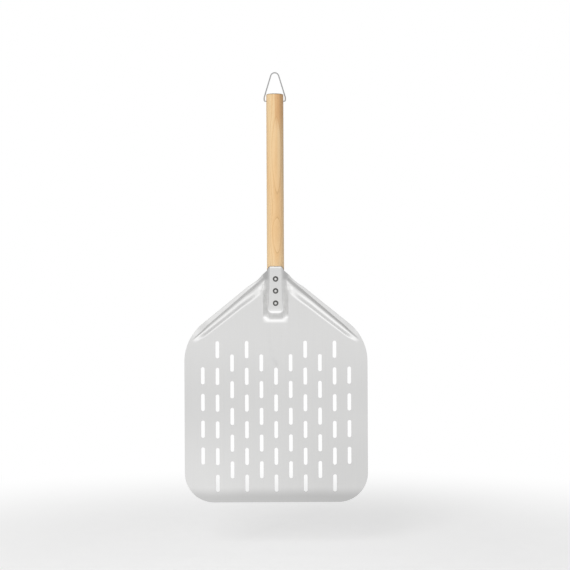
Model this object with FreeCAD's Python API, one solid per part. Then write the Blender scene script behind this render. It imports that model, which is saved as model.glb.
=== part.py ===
import FreeCAD, Part
import math
import os

from FreeCAD import Vector as V

# ---------------------------------------------------------------------------
# Pizza peel, millimetres.
# The peel hangs as it is stored: +Z up, hanging loop at the top, cooking face
# towards -Y.  The handle's axis and the wire loop lie on the plane Y = 0, and
# the underside of the blade on the plane Y = AXIS_UP.  Heights named h or H_*
# are measured up from the front edge of the blade.  The origin is where a hook
# carries the wire loop, so a height h sits at Z = h - H_HOOK.
# ---------------------------------------------------------------------------

# overall
BLADE_W = 300.0            # width of the blade
H_HANDLE_TOP = 670.0       # front edge of the blade to the top of the handle

# sheet
SHEET_T = 1.5              # thickness of the aluminium sheet
R_FRONT = 48.0             # front corner radius
R_SIDE = 80.0              # arc between side and shoulder
SHOULDER_DX = 1.2255       # sideways run of the shoulder per unit of height
H_SIDE_CORNER = 268.6      # where side and shoulder lines would meet
H_TONGUE = 386.3           # upper edge of the sheet
TONGUE_HALF = 8.0          # half length of the straight upper edge
EDGE_TAPER_H = 26.0        # depth of the thinned front edge
EDGE_TAPER_T = 0.8         # thickness of the sheet at the very front

# vent slots
SLOT_W = 5.9
SLOT_L = 27.5
COL_PITCH = 24.0
ROW_PITCH = 43.8
ROW_EVEN_0 = 31.2
ROW_ODD_0 = 53.1
OUTER_COL_LIFT = 1.2

# raised socket
SOCKET_RISE = 11.9         # rise of the outer face above the blade's face
SOCKET_C = 13.0            # half width at mid wall, at height SOCKET_HREF
SOCKET_HREF = 371.0
SOCKET_FLARE = 0.09        # widening of each side per unit of height, downwards
WALL_ANGLE = 60.0
WALL_R = 4.0               # outer radii of the wall's two bends
END_ANGLE = 45.0
END_R = 12.2
H_SOCKET_END = 294.5       # where the end wall has run out into the blade

# shoulder beads, laid along the line of the steep outer flank
BEAD_A = (16.8, 370.9)     # x, h at the neck
BEAD_B = (128.0, 274.5)    # x, h near the side
BEAD_RISE = 6.0            # rise at the neck
BEAD_FOOT = -3.0           # outer foot, crest and inner foot across the bead
BEAD_CREST = 4.0
BEAD_INNER = 20.0

# handle
HANDLE_D = 28.0
AXIS_UP = 0.6              # handle axis above the plane of the blade's underside
HANDLE_Y = 0.0
H_LAP_END = 318.0          # lower end of the halved part
H_SHOULDER = 386.7         # front shoulder that the sheet's upper edge faces
H_SCARF = 388.0            # where the back slope starts
SCARF_RUN = 15.0
TOP_ROUND = 2.5
LAP_GAP = 0.05             # between wood and sheet under the socket's flat

# rivets
RIVET_H = (365.8, 346.3, 326.3)
RIVET_NAMES = ("upper", "middle", "lower")
RIVET_HEAD_D = 9.2
RIVET_HEAD_T = 2.3
RIVET_CROWN_D = 4.2
RIVET_SHANK_D = 4.8
RIVET_HOLE_D = 5.0
RIVET_TAIL_D = 7.6
WASHER_D = 11.0
WASHER_T = 1.0
RECESS_D = 11.6
RECESS_FLOOR = 2.6         # height of the recess floor above the underside

# hanging loop
WIRE_D = 2.0
H_PIVOT = 657.0
H_APEX = 704.8             # outside of the apex
LEG_HALF = 17.4            # half distance of the two upright leg ends
H_KINK = 663.3             # where the legs turn towards the apex
PIN_IN = 8.0               # the ends reach in to this distance from the centre
BEND_R = 2.2
KINK_R = 9.0
CROSS_HOLE_D = 2.15

H_HOOK = H_APEX - WIRE_D

HALF_W = BLADE_W / 2.0


def P(x, up, h):
    """Point at x, 'up' above the underside (towards the cook), height h."""
    return V(x, AXIS_UP - up, h - H_HOOK)


def smooth(u):
    u = min(1.0, max(0.0, u))
    return u * u * u * (u * (6.0 * u - 15.0) + 10.0)


# ---------------------------------------------------------------------------
# plan outline of the sheet
# ---------------------------------------------------------------------------
def shoulder_x(h):
    return HALF_W - (h - H_SIDE_CORNER) * SHOULDER_DX


def fillet_points(corner, p, q, r):
    """Tangent points and middle of an arc of radius r in a plan corner."""
    cx, cy = corner
    a = (p[0] - cx, p[1] - cy)
    b = (q[0] - cx, q[1] - cy)
    la, lb = math.hypot(*a), math.hypot(*b)
    a = (a[0] / la, a[1] / la)
    b = (b[0] / lb, b[1] / lb)
    half = math.acos(a[0] * b[0] + a[1] * b[1]) / 2.0
    t = r / math.tan(half)
    m = (a[0] + b[0], a[1] + b[1])
    lm = math.hypot(*m)
    d = r / math.sin(half)
    c = (cx + m[0] / lm * d, cy + m[1] / lm * d)
    mid = (c[0] - m[0] / lm * r, c[1] - m[1] / lm * r)
    return ((cx + a[0] * t, cy + a[1] * t), mid, (cx + b[0] * t, cy + b[1] * t))


def plan_half():
    """Right half of the outline from the middle of the front edge upwards,
    as a list of ("line", p, q), ("arc", p, m, q) and ("spline", [points])."""
    segs = []
    f1, fm, f2 = fillet_points((HALF_W, 0.0), (0.0, 0.0), (HALF_W, 200.0), R_FRONT)
    segs.append(("line", (0.0, 0.0), f1))
    segs.append(("arc", f1, fm, f2))
    top = (shoulder_x(353.0), 353.0)
    s1, sm, s2 = fillet_points((HALF_W, H_SIDE_CORNER), (HALF_W, 0.0), top, R_SIDE)
    segs.append(("line", f2, s1))
    segs.append(("arc", s1, sm, s2))
    segs.append(("line", s2, top))
    segs.append(("spline", [top, (38.2, 357.9), (30.0, 363.8), (23.9, 371.2)]))
    segs.append(("arc", (23.9, 371.2), (23.3, 373.4), (21.4, 374.7)))
    segs.append(("line", (21.4, 374.7), (15.4, 378.5)))
    segs.append(("spline", [(15.4, 378.5), (13.2, 381.2), (11.4, 384.4), (TONGUE_HALF, H_TONGUE)]))
    segs.append(("line", (TONGUE_HALF, H_TONGUE), (0.0, H_TONGUE)))
    return segs


def edge_from(seg, side, up):
    def q(p):
        return P(side * p[0], up, p[1])
    if seg[0] == "line":
        return Part.LineSegment(q(seg[1]), q(seg[2])).toShape()
    if seg[0] == "arc":
        return Part.Arc(q(seg[1]), q(seg[2]), q(seg[3])).toShape()
    c = Part.BSplineCurve()
    c.interpolate([q(p) for p in seg[1]])
    return c.toShape()


def outline_prism(up0, up1):
    edges = [edge_from(s, 1.0, up0) for s in plan_half()]
    edges += [edge_from(s, -1.0, up0) for s in plan_half()]
    wire = Part.Wire(Part.__sortEdges__(edges))
    face = Part.Face(wire)
    return face.extrude(V(0, -(up1 - up0), 0))


def plan_prism(points, up0, up1):
    pts = [P(x, up0, h) for x, h in points]
    wire = Part.makePolygon(pts + [pts[0]])
    return Part.Face(wire).extrude(V(0, -(up1 - up0), 0))


# ---------------------------------------------------------------------------
# wall section: two bends joined by a straight, from (0, 0) up to (width, rise)
# ---------------------------------------------------------------------------
def wall(rise, angle, r):
    a = math.radians(angle)
    straight = (rise - 2.0 * r * (1.0 - math.cos(a))) / math.sin(a)
    width = 2.0 * r * math.sin(a) + straight * math.cos(a)
    return a, straight, width


def wall_points(rise, angle, r, t):
    """Key points of the wall's outer face (t = 0) or of its inner face at
    thickness t.  Distances run inwards from the foot, heights start at the
    blade's own face, so the inner face starts at -t."""
    a, straight, width = wall(rise, angle, r)
    rf, rt = r + t, r - t
    foot_c = (0.0, r)
    top_c = (width, rise - r)
    f0 = (0.0, r - rf)
    fm = (rf * math.sin(a / 2.0), r - rf * math.cos(a / 2.0))
    f1 = (rf * math.sin(a), r - rf * math.cos(a))
    t0 = (width - rt * math.sin(a), rise - r + rt * math.cos(a))
    tm = (width - rt * math.sin(a / 2.0), rise - r + rt * math.cos(a / 2.0))
    t1 = (width, rise - r + rt)
    return f0, fm, f1, t0, tm, t1


def socket_section(h, t, floor_up):
    """Closed section of the socket at height h: outer (t = 0) or inner."""
    c = SOCKET_C + (SOCKET_HREF - h) * SOCKET_FLARE
    width = wall(SOCKET_RISE, WALL_ANGLE, WALL_R)[2]
    foot = c + width / 2.0
    pts = wall_points(SOCKET_RISE, WALL_ANGLE, WALL_R, t)

    def q(side, p):
        return P(side * (foot - p[0]), SHEET_T + p[1], h)
    edges = []
    lo, hi = P(foot, floor_up, h), P(-foot, floor_up, h)
    f0, fm, f1, t0, tm, t1 = pts
    edges.append(Part.LineSegment(lo, q(1, f0)).toShape())
    edges.append(Part.Arc(q(1, f0), q(1, fm), q(1, f1)).toShape())
    edges.append(Part.LineSegment(q(1, f1), q(1, t0)).toShape())
    edges.append(Part.Arc(q(1, t0), q(1, tm), q(1, t1)).toShape())
    edges.append(Part.LineSegment(q(1, t1), q(-1, t1)).toShape())
    edges.append(Part.Arc(q(-1, t1), q(-1, tm), q(-1, t0)).toShape())
    edges.append(Part.LineSegment(q(-1, t0), q(-1, f1)).toShape())
    edges.append(Part.Arc(q(-1, f1), q(-1, fm), q(-1, f0)).toShape())
    edges.append(Part.LineSegment(q(-1, f0), hi).toShape())
    edges.append(Part.LineSegment(hi, lo).toShape())
    return Part.Wire(edges)


def socket_side(t, floor_up, top_h):
    """The socket seen from the side, as a bar across the blade."""
    f0, fm, f1, t0, tm, t1 = wall_points(SOCKET_RISE, END_ANGLE, END_R, t)

    def q(p):
        return P(-60.0, SHEET_T + p[1], H_SOCKET_END + p[0])
    lo = P(-60.0, floor_up, H_SOCKET_END)
    top_a = P(-60.0, SHEET_T + t1[1], top_h)
    top_b = P(-60.0, floor_up, top_h)
    edges = [Part.LineSegment(lo, q(f0)).toShape(),
             Part.Arc(q(f0), q(fm), q(f1)).toShape(),
             Part.LineSegment(q(f1), q(t0)).toShape(),
             Part.Arc(q(t0), q(tm), q(t1)).toShape(),
             Part.LineSegment(q(t1), top_a).toShape(),
             Part.LineSegment(top_a, top_b).toShape(),
             Part.LineSegment(top_b, lo).toShape()]
    return Part.Face(Part.Wire(edges)).extrude(V(120.0, 0, 0))


def socket_solid(t, floor_up):
    body = Part.makeLoft([socket_section(400.0, t, floor_up),
                          socket_section(286.0, t, floor_up)], True, True)
    return body.common(socket_side(t, floor_up, 399.0))


# ---------------------------------------------------------------------------
# shoulder beads
# ---------------------------------------------------------------------------
_bx, _bh = BEAD_B[0] - BEAD_A[0], BEAD_B[1] - BEAD_A[1]
BEAD_LEN = math.hypot(_bx, _bh)
BEAD_DIR = (_bx / BEAD_LEN, _bh / BEAD_LEN)
BEAD_IN = (BEAD_DIR[1], -BEAD_DIR[0])


def bead_height(q, s):
    lo, cr, hi = BEAD_FOOT * s, BEAD_CREST * s, BEAD_INNER * s
    rise = BEAD_RISE * s
    if q <= cr:
        return rise * smooth((q - lo) / (cr - lo))
    return rise * smooth((hi - q) / (hi - cr))


def bead_section(length, s, shift, t, floor_up, side, n=14):
    lo, hi = BEAD_FOOT * s, BEAD_INNER * s
    cr = BEAD_CREST * s
    qs = [lo + (cr - lo) * i / 6.0 for i in range(6)] + [cr + (hi - cr) * i / 8.0 for i in range(9)]

    def plan(q, up):
        x = BEAD_A[0] + BEAD_DIR[0] * length + BEAD_IN[0] * (q + shift)
        h = BEAD_A[1] + BEAD_DIR[1] * length + BEAD_IN[1] * (q + shift)
        return P(side * x, up, h)
    pts = []
    for q in qs:
        d = 1e-3
        slope = (bead_height(q + d, s) - bead_height(q - d, s)) / (2 * d)
        if q in (lo, hi):
            slope = 0.0
        k = 1.0 / math.hypot(1.0, slope)
        # a narrow bead has bends too tight for a true offset, so there the
        # groove follows the bead straight down
        f = min(1.0, max(0.0, (s - 0.4) / 0.5))
        pts.append(plan(q + t * slope * k * f, SHEET_T + bead_height(q, s) - t * (k * f + 1.0 - f)))
    c = Part.BSplineCurve()
    c.interpolate(pts)
    a, b = plan(lo, floor_up), plan(hi, floor_up)
    return Part.Wire([Part.LineSegment(a, pts[0]).toShape(), c.toShape(),
                      Part.LineSegment(pts[-1], b).toShape(),
                      Part.LineSegment(b, a).toShape()])


def bead_solid(t, floor_up, side):
    tip = 0.0 if t == 0.0 else 1.0
    rows = [(-3.0, 1.0, 0.0), (75.0, 0.78, 0.0), (BEAD_LEN - 1.0, 0.56, 0.4),
            (BEAD_LEN + 6.0 - tip, 0.38, 1.7), (BEAD_LEN + 10.5 - tip, 0.16, 3.6)]
    wires = [bead_section(l, s, sh, t, floor_up, side) for l, s, sh in rows]
    return Part.makeLoft(wires, True, True)


# ---------------------------------------------------------------------------
# blade
# ---------------------------------------------------------------------------
def slot_centres():
    out = []
    for i in range(-5, 6):
        x = i * COL_PITCH
        if abs(i) == 5:
            rows = [ROW_EVEN_0 + ROW_PITCH * n + OUTER_COL_LIFT for n in range(1, 5)]
        elif abs(i) in (2, 4):
            rows = [ROW_EVEN_0 + ROW_PITCH * n for n in range(6)]
        elif i == 0:
            rows = [ROW_EVEN_0 + ROW_PITCH * n for n in range(5)]
        else:
            rows = [ROW_ODD_0 + ROW_PITCH * n for n in range(5)]
        out += [(x, h) for h in rows]
    return out


def slot_cutter(x, h):
    r = SLOT_W / 2.0
    d = SLOT_L / 2.0 - r
    a, b = P(x - r, -1.0, h - d), P(x - r, -1.0, h + d)
    c, e = P(x + r, -1.0, h + d), P(x + r, -1.0, h - d)
    wire = Part.Wire([Part.LineSegment(a, b).toShape(),
                      Part.Arc(b, P(x, -1.0, h + d + r), c).toShape(),
                      Part.LineSegment(c, e).toShape(),
                      Part.Arc(e, P(x, -1.0, h - d - r), a).toShape()])
    return Part.Face(wire).extrude(V(0, -(SHEET_T + 2.0), 0))


def make_blade():
    plate = outline_prism(0.0, SHEET_T)
    tall = outline_prism(-0.5, 20.0)
    outer = socket_solid(0.0, 0.6)
    for side in (1.0, -1.0):
        outer = outer.fuse(bead_solid(0.0, 0.6, side))
    outer = outer.common(tall)
    body = plate.fuse(outer)
    inner = socket_solid(SHEET_T, -1.0)
    body = body.cut(inner)
    for side in (1.0, -1.0):
        body = body.cut(bead_solid(SHEET_T, -1.0, side))
    # thinned front edge
    wedge = [P(-HALF_W - 5, SHEET_T, EDGE_TAPER_H), P(-HALF_W - 5, SHEET_T + 3, EDGE_TAPER_H),
             P(-HALF_W - 5, SHEET_T + 3, -3.0),
             P(-HALF_W - 5, EDGE_TAPER_T - 3.0 * (SHEET_T - EDGE_TAPER_T) / EDGE_TAPER_H, -3.0)]
    wedge = Part.Face(Part.makePolygon(wedge + [wedge[0]])).extrude(V(BLADE_W + 10, 0, 0))
    body = body.cut(wedge)
    body = body.cut(Part.makeCompound([slot_cutter(x, h) for x, h in slot_centres()]))
    holes = [Part.makeCylinder(RIVET_HOLE_D / 2.0, 20.0, P(0, -2.0, h), V(0, -1, 0)) for h in RIVET_H]
    body = body.cut(Part.makeCompound(holes))
    body = body.removeSplitter()
    solids = sorted(body.Solids, key=lambda s: s.Volume)
    if len(solids) > 1:
        print("blade pieces", [round(s.Volume, 3) for s in solids])
    return solids[-1]


# ---------------------------------------------------------------------------
# handle
# ---------------------------------------------------------------------------
def lap_section(h):
    c = SOCKET_C + (SOCKET_HREF - h) * SOCKET_FLARE
    top = SHEET_T + SOCKET_RISE - SHEET_T - LAP_GAP
    half = [(c + 2.1, 0.0), (c - 3.35, 9.6), (c - 6.0, top)]
    pts = [P(x, up, h) for x, up in half] + [P(-x, up, h) for x, up in reversed(half)]
    return Part.makePolygon(pts + [pts[0]])


def make_handle():
    r = HANDLE_D / 2.0
    rod = Part.makeCylinder(r, H_HANDLE_TOP - H_LAP_END, V(0, HANDLE_Y, H_LAP_END - H_HOOK), V(0, 0, 1))
    top_edges = [e for e in rod.Edges
                 if e.BoundBox.ZLength < 1e-3 and abs(e.BoundBox.ZMax - (H_HANDLE_TOP - H_HOOK)) < 1e-3]
    rod = rod.makeFillet(TOP_ROUND, top_edges)
    lap_top = H_SHOULDER + 0.8
    # what is cut away in front of the sheet, inside the sheet's own upper outline
    neck = [(-40.0, 300.0), (40.0, 300.0), (40.0, 378.9), (15.6, 378.9), (13.7, 381.4), (11.9, 384.8),
            (8.5, H_SHOULDER), (-8.5, H_SHOULDER), (-11.9, 384.8), (-13.7, 381.4), (-15.6, 378.9), (-40.0, 378.9)]
    cut = plan_prism(neck, -0.6, 20.0)
    upper = rod.cut(cut)
    # back: halved flush with the blade's underside, with a slope up to the full round
    back = [P(-30, 0.0, 290.0), P(-30, 0.0, H_SCARF), P(-30, -SCARF_RUN, H_SCARF + SCARF_RUN),
            P(-30, -SCARF_RUN, 290.0)]
    back = Part.Face(Part.makePolygon(back + [back[0]])).extrude(V(60, 0, 0))
    lap = Part.makeLoft([lap_section(lap_top), lap_section(H_LAP_END)], True, True)
    lap = lap.common(Part.makeCylinder(r, 200.0, V(0, HANDLE_Y, H_LAP_END - H_HOOK), V(0, 0, 1)))
    body = upper.cut(back).fuse(lap)
    for h in RIVET_H:
        body = body.cut(Part.makeCylinder(RIVET_HOLE_D / 2.0, 30.0, P(0, -2.0, h), V(0, -1, 0)))
        body = body.cut(Part.makeCylinder(RECESS_D / 2.0, RECESS_FLOOR + 2.0, P(0, -2.0, h), V(0, -1, 0)))
    for side in (1.0, -1.0):
        body = body.cut(Part.makeCylinder(CROSS_HOLE_D / 2.0, 20.0,
                                          V(side * (PIN_IN - 0.5), HANDLE_Y, H_PIVOT - H_HOOK), V(side, 0, 0)))
    solids = sorted(body.Solids, key=lambda s: s.Volume)
    if len(solids) > 1:
        print("handle pieces", [round(s.Volume, 3) for s in solids])
    return solids[-1]


# ---------------------------------------------------------------------------
# rivets and washers
# ---------------------------------------------------------------------------
def turned(profile, h):
    """Solid of revolution about the rivet's axis: (radius, up) points; a
    three-point entry starting with 'arc' is a curved part of the profile."""
    edges = []
    last = profile[0]
    for item in profile[1:]:
        if item[0] == "arc":
            edges.append(Part.Arc(P(last[0], last[1], h), P(item[1][0], item[1][1], h),
                                  P(item[2][0], item[2][1], h)).toShape())
            last = item[2]
        else:
            edges.append(Part.LineSegment(P(last[0], last[1], h), P(item[0], item[1], h)).toShape())
            last = item
    face = Part.Face(Part.Wire(edges))
    return face.revolve(P(0, 0, h), V(0, 1, 0), 360.0)


def make_rivet(h):
    seat = SHEET_T + SOCKET_RISE + 0.01
    rs, rh, rt, rc = RIVET_SHANK_D / 2.0, RIVET_HEAD_D / 2.0, RIVET_TAIL_D / 2.0, RIVET_CROWN_D / 2.0
    tail0 = RECESS_FLOOR - WASHER_T
    prof = [(0.0, seat + RIVET_HEAD_T), (rc, seat + RIVET_HEAD_T),
            ("arc", (rc + (rh - rc) * 0.66, seat + RIVET_HEAD_T * 0.77), (rh, seat + 0.45)),
            (rh, seat), (rs, seat), (rs, tail0), (rt, tail0),
            ("arc", (rt * 0.93, tail0 - 0.85), (rt * 0.7, 0.3)), (0.0, 0.3), (0.0, seat + RIVET_HEAD_T)]
    return turned(prof, h)


def make_washer(h):
    top = RECESS_FLOOR
    ro, ri = WASHER_D / 2.0, RIVET_HOLE_D / 2.0
    prof = [(ri, top), (ro, top), (ro, top - WASHER_T + 0.2), (ro - 0.2, top - WASHER_T), (ri, top - WASHER_T),
            (ri, top)]
    return turned(prof, h)


# ---------------------------------------------------------------------------
# hanging loop
# ---------------------------------------------------------------------------
def bail_path():
    """Centre line of the wire: straight ends, uprights, legs and apex arc."""
    top_c = H_APEX - WIRE_D / 2.0
    slope = 0.306
    kink = (LEG_HALF, H_KINK)
    k = math.hypot(1.0, slope)
    base = kink[0] + slope * kink[1]
    r = (base - slope * top_c) / (k - slope)
    cz = top_c - r
    tangent = (r / k, cz + r * slope / k)
    right = [(PIN_IN, H_PIVOT), (LEG_HALF, H_PIVOT), kink, tangent]
    return right, r, cz


def wire_edges():
    right, r, cz = bail_path()
    pin, foot, kink, tan_pt = right
    b1, bm, b2 = fillet_points(foot, pin, kink, BEND_R)
    k1, km, k2 = fillet_points(kink, foot, tan_pt, KINK_R)

    def q(p, side):
        return V(side * p[0], HANDLE_Y, p[1] - H_HOOK)

    def half(side):
        return [Part.LineSegment(q(pin, side), q(b1, side)).toShape(),
                Part.Arc(q(b1, side), q(bm, side), q(b2, side)).toShape(),
                Part.LineSegment(q(b2, side), q(k1, side)).toShape(),
                Part.Arc(q(k1, side), q(km, side), q(k2, side)).toShape(),
                Part.LineSegment(q(k2, side), q(tan_pt, side)).toShape()]
    apex = Part.Arc(q(tan_pt, 1.0), V(0, HANDLE_Y, cz + r - H_HOOK), q(tan_pt, -1.0)).toShape()
    return half(1.0) + [apex] + half(-1.0)


def make_bail():
    path = Part.Wire(Part.__sortEdges__(wire_edges()))
    start = V(PIN_IN, HANDLE_Y, H_PIVOT - H_HOOK)
    circle = Part.Wire(Part.Circle(start, V(1, 0, 0), WIRE_D / 2.0).toShape())
    solid = path.makePipeShell([circle], True, False)
    if solid.Volume < 0:
        solid.reverse()
    print("wire length", round(path.Length, 2), "volume", round(solid.Volume, 2),
          "section x length", round(math.pi * (WIRE_D / 2) ** 2 * path.Length, 2))
    return solid.Solids[0]


# ---------------------------------------------------------------------------
def main():
    os.makedirs("parts", exist_ok=True)
    parts = {"blade": make_blade(), "handle": make_handle()}
    for name, h in zip(RIVET_NAMES, RIVET_H):
        parts["rivet_" + name] = make_rivet(h)
        parts["washer_" + name] = make_washer(h)
    parts["hanging_bail"] = make_bail()
    for name, shape in parts.items():
        solid = shape.Solids[0]
        bb = solid.optimalBoundingBox()
        print("%-14s valid %s volume %10.2f  X %.2f %.2f  Y %.2f %.2f  Z %.2f %.2f" % (
            name, solid.isValid(), solid.Volume, bb.XMin, bb.XMax, bb.YMin, bb.YMax, bb.ZMin, bb.ZMax))
        solid.exportStep("parts/" + name + ".step")


main()
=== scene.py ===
import math
import bpy
import bmesh
import numpy as np
from mathutils import Vector, Matrix
from mathutils.geometry import delaunay_2d_cdt

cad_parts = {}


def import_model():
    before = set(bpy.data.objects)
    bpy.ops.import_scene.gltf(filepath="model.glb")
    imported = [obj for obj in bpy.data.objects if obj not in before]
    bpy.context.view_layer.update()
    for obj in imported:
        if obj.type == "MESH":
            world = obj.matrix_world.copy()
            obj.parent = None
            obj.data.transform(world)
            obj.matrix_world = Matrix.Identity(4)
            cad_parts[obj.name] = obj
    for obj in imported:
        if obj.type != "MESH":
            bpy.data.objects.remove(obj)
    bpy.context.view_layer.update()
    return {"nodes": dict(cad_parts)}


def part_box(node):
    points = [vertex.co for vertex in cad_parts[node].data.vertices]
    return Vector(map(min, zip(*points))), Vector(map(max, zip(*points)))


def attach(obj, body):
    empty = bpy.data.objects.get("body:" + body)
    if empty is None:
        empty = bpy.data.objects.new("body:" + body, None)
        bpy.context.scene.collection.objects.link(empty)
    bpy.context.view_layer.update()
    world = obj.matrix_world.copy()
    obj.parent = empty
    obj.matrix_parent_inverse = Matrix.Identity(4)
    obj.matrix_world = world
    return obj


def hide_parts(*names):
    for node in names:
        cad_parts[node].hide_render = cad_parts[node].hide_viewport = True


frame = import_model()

# ---------------------------------------------------------------------------
# Pizza peel.  Lengths below are millimetres, turned into metres at the end.
# x is sideways, h is height above the blade's front edge, "up" is the height
# above the blade's underside, towards the cook (the -Y side).
# ---------------------------------------------------------------------------
MM = 0.001
peel_lo, peel_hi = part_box("blade")
Z_FRONT = peel_lo.z                  # front edge of the blade
Y_UNDER = peel_hi.y                  # underside of the blade
HALF_W = peel_hi.x / MM              # half width of the blade

SHEET_T = 1.5
R_FRONT, R_SIDE = 48.0, 80.0
SHOULDER_DX = 1.2255
H_SIDE_CORNER = 268.6
H_TONGUE = 386.3
TONGUE_HALF = 8.0
SLOT_W, SLOT_L = 6.1, 28.4
COL_PITCH, ROW_PITCH = 24.0, 43.8
ROW_EVEN_0, ROW_ODD_0, OUTER_COL_LIFT = 31.2, 53.1, 1.2
SOCKET_RISE = 11.9
BEAD_A = np.array((16.8, 370.9))
BEAD_B = np.array((128.0, 274.5))
RIVET_H = {"rivet_upper": 365.8, "rivet_middle": 346.3, "rivet_lower": 326.3}


def world(x, up, h):
    return (np.asarray(x, float) * MM, Y_UNDER - np.asarray(up, float) * MM, Z_FRONT + np.asarray(h, float) * MM)


def smooth01(u):
    u = np.clip(u, 0.0, 1.0)
    return u * u * (3.0 - 2.0 * u)


# ---------------------------------------------------------------------------
# the pressed shape of the sheet
# ---------------------------------------------------------------------------
_bd = (BEAD_B - BEAD_A) / np.linalg.norm(BEAD_B - BEAD_A)
_bn = np.array((_bd[1], -_bd[0]))


# drop of the channel wall from its flat top (0) to its foot (1): tight shoulder, easier foot
_t = np.linspace(0.0, 1.0, 4001)
_s = _t ** 1.7 * (1.0 - _t) ** 2.3
_S = np.concatenate([[0.0], np.cumsum((_s[1:] + _s[:-1]) * 0.5 * (_t[1] - _t[0]))])
_S /= _S[-1]
_w = smooth01(_t / 0.26) * smooth01((1.0 - _t) / 0.26)      # the same for the long sides: an even slope
_W = np.concatenate([[0.0], np.cumsum((_w[1:] + _w[:-1]) * 0.5 * (_t[1] - _t[0]))])
_W /= _W[-1]
FOOT_HALF, TOP_END, FOOT_END = 22.4, 314.7, 292.7


def socket_rise(x, h):
    """Pressed channel for the handle: contour t runs from the flat top (0) to the foot (1)."""
    x = np.abs(x)
    top_half = 7.6 + 0.04 * (375.0 - h) + 1.9 * smooth01((335.0 - h) / 22.0)

    def outside(t):
        hump = np.sin(np.pi * t) ** 1.2
        rx, rz = 4.75 + 6.5 * hump, 5.0 + 6.5 * hump
        u = (x - (top_half + (FOOT_HALF - top_half) * t - rx)) / rx
        v = (TOP_END - (TOP_END - FOOT_END) * t + rz - h) / rz
        return np.hypot(np.maximum(u, 0), np.maximum(v, 0)) + np.minimum(np.maximum(u, v), 0) - 1.0
    lo, hi = np.zeros_like(x), np.ones_like(x)
    for turn in range(30):
        mid = 0.5 * (lo + hi)
        out = outside(mid) > 0
        lo, hi = np.where(out, mid, lo), np.where(out, hi, mid)
    t = np.where(outside(np.zeros_like(x)) <= 0, 0.0, np.where(outside(np.ones_like(x)) >= 0, 1.0, 0.5 * (lo + hi)))
    side = smooth01((h - 300.0) / 16.0)
    return SOCKET_RISE * (1.0 - (1.0 - side) * np.interp(t, _t, _S) - side * np.interp(t, _t, _W))


# the long inner slope of a bead: it steepens towards the foot, then runs out quickly
_u = np.linspace(0.0, 1.0, 8001)
_g = np.where(_u < 0.59, np.sin(np.pi / 2 * np.clip(_u / 0.59, 0.0, 1.0)) ** 1.5,
              np.cos(np.pi / 2 * np.clip((_u - 0.59) / 0.37, 0.0, 1.0)) ** 1.4)
_G = np.concatenate([[0.0], np.cumsum((_g[1:] + _g[:-1]) * 0.5 * (_u[1] - _u[0]))])
_G /= _G[-1]


def bead_rise(x, h, side):
    rx, rh = side * x - BEAD_A[0], h - BEAD_A[1]
    along = rx * _bd[0] + rh * _bd[1]
    q = rx * _bn[0] + rh * _bn[1]
    al = np.clip(along, -12.0, 163.0)
    ws = 1.0 - 0.0012 * al - 0.0000125 * al * al - 0.10 * smooth01((al - 135.0) / 24.0)
    q0 = 2.0 - 0.0160 * al + 0.9 * smooth01((al - 122.0) / 22.0)
    half = (2.95 if side > 0 else 2.55) - 0.0095 * al
    narrow = 1.0 - (0.05 if side > 0 else 0.08) * smooth01((al - 40.0) / 25.0)
    lo, cr, hi = q0 - half, q0 + half, 20.5 * ws * narrow
    # the inner slope closes like the end of a spoon before it reaches the socket
    spoon = np.sqrt(smooth01((side * x - 15.5) / 12.0))
    hi = cr + (hi - cr) * (0.30 + 0.70 * spoon)
    top = 7.3 * (1.0 - 0.30 * al / 147.0) * (1.0 - smooth01((along - 133.0) / 29.0)) * (0.50 + 0.50 * smooth01((along - 10.0) / 36.0)) \
        * (0.55 + 0.45 * np.sqrt(smooth01((side * x - 12.0) / 15.0)))
    # outside the bead a narrow flange, left tipped up a little by the press
    tip = np.clip(lo - q, 0.0, 8.0)
    gate = smooth01((along - 10.0) / 16.0) * smooth01((162.0 - along) / 34.0)
    low = 0.36 * top * smooth01((along - 118.0) / 30.0)
    rate = 0.055 if side > 0 else 0.17 + 0.13 * smooth01((55.0 - along) / 45.0) - 0.06 * smooth01((along - 110.0) / 30.0)
    flange = rate * tip * smooth01(tip / 1.2) * gate + low
    a = np.clip((q - lo) / (cr - lo), 0, 1)
    b = np.clip((q - cr) / (hi - cr), 0, 1)
    bowl = np.maximum(smooth01((36.0 - along) / 18.0), 0.85 * smooth01((along - 126.0) / 18.0))
    inner = top * (1.0 - (1.0 - bowl) * np.interp(b, _u, _G) - bowl * np.interp(b, _t, _W))
    rise = np.where(q <= cr, low + (top - low) * 0.5 * (1 - np.cos(np.pi * a)), inner)
    rise = np.where(q <= lo, flange, np.where((q >= hi) | (along > 162.0), 0.0, rise))
    rise = np.where(along < -12.0, np.where(q <= lo, 0.0, rise), rise)
    return rise


def sheet_rise(x, h):
    """Height of the sheet's upper face above the flat of the blade."""
    x, h = np.asarray(x, float), np.asarray(h, float)
    a = socket_rise(x, h)
    b = np.maximum(bead_rise(x, h, 1.0), bead_rise(x, h, -1.0))
    k = np.clip(1.2 * np.minimum(a, b), 1e-6, 1.6)
    e = np.maximum(k - np.abs(a - b), 0.0) / k
    out = np.maximum(a, b) + e * e * k * 0.25
    # faint tongue-shaped press mark below the socket
    half = 15.5 * np.sqrt(np.clip((h - 226.0) / 46.0, 0.0, 1.0))
    mark = smooth01((half - np.abs(x - 1.5)) / 3.6) * smooth01((300.0 - h) / 12.0)
    out = out - 0.17 * mark
    # the tongue's lip is flared a little off the wood
    out = out + 0.42 * np.clip((h - 383.2) / 2.1, 0.0, 1.2) ** 2
    # the sheet is never truly flat
    out = out + 0.045 * np.sin(x / 31.0 + 0.7) * np.sin(h / 37.0 + 0.4) \
              + 0.030 * np.sin(x / 19.0 - h / 52.0 + 1.9) + 0.018 * np.sin(h / 13.0 + x / 61.0)
    return out


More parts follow.
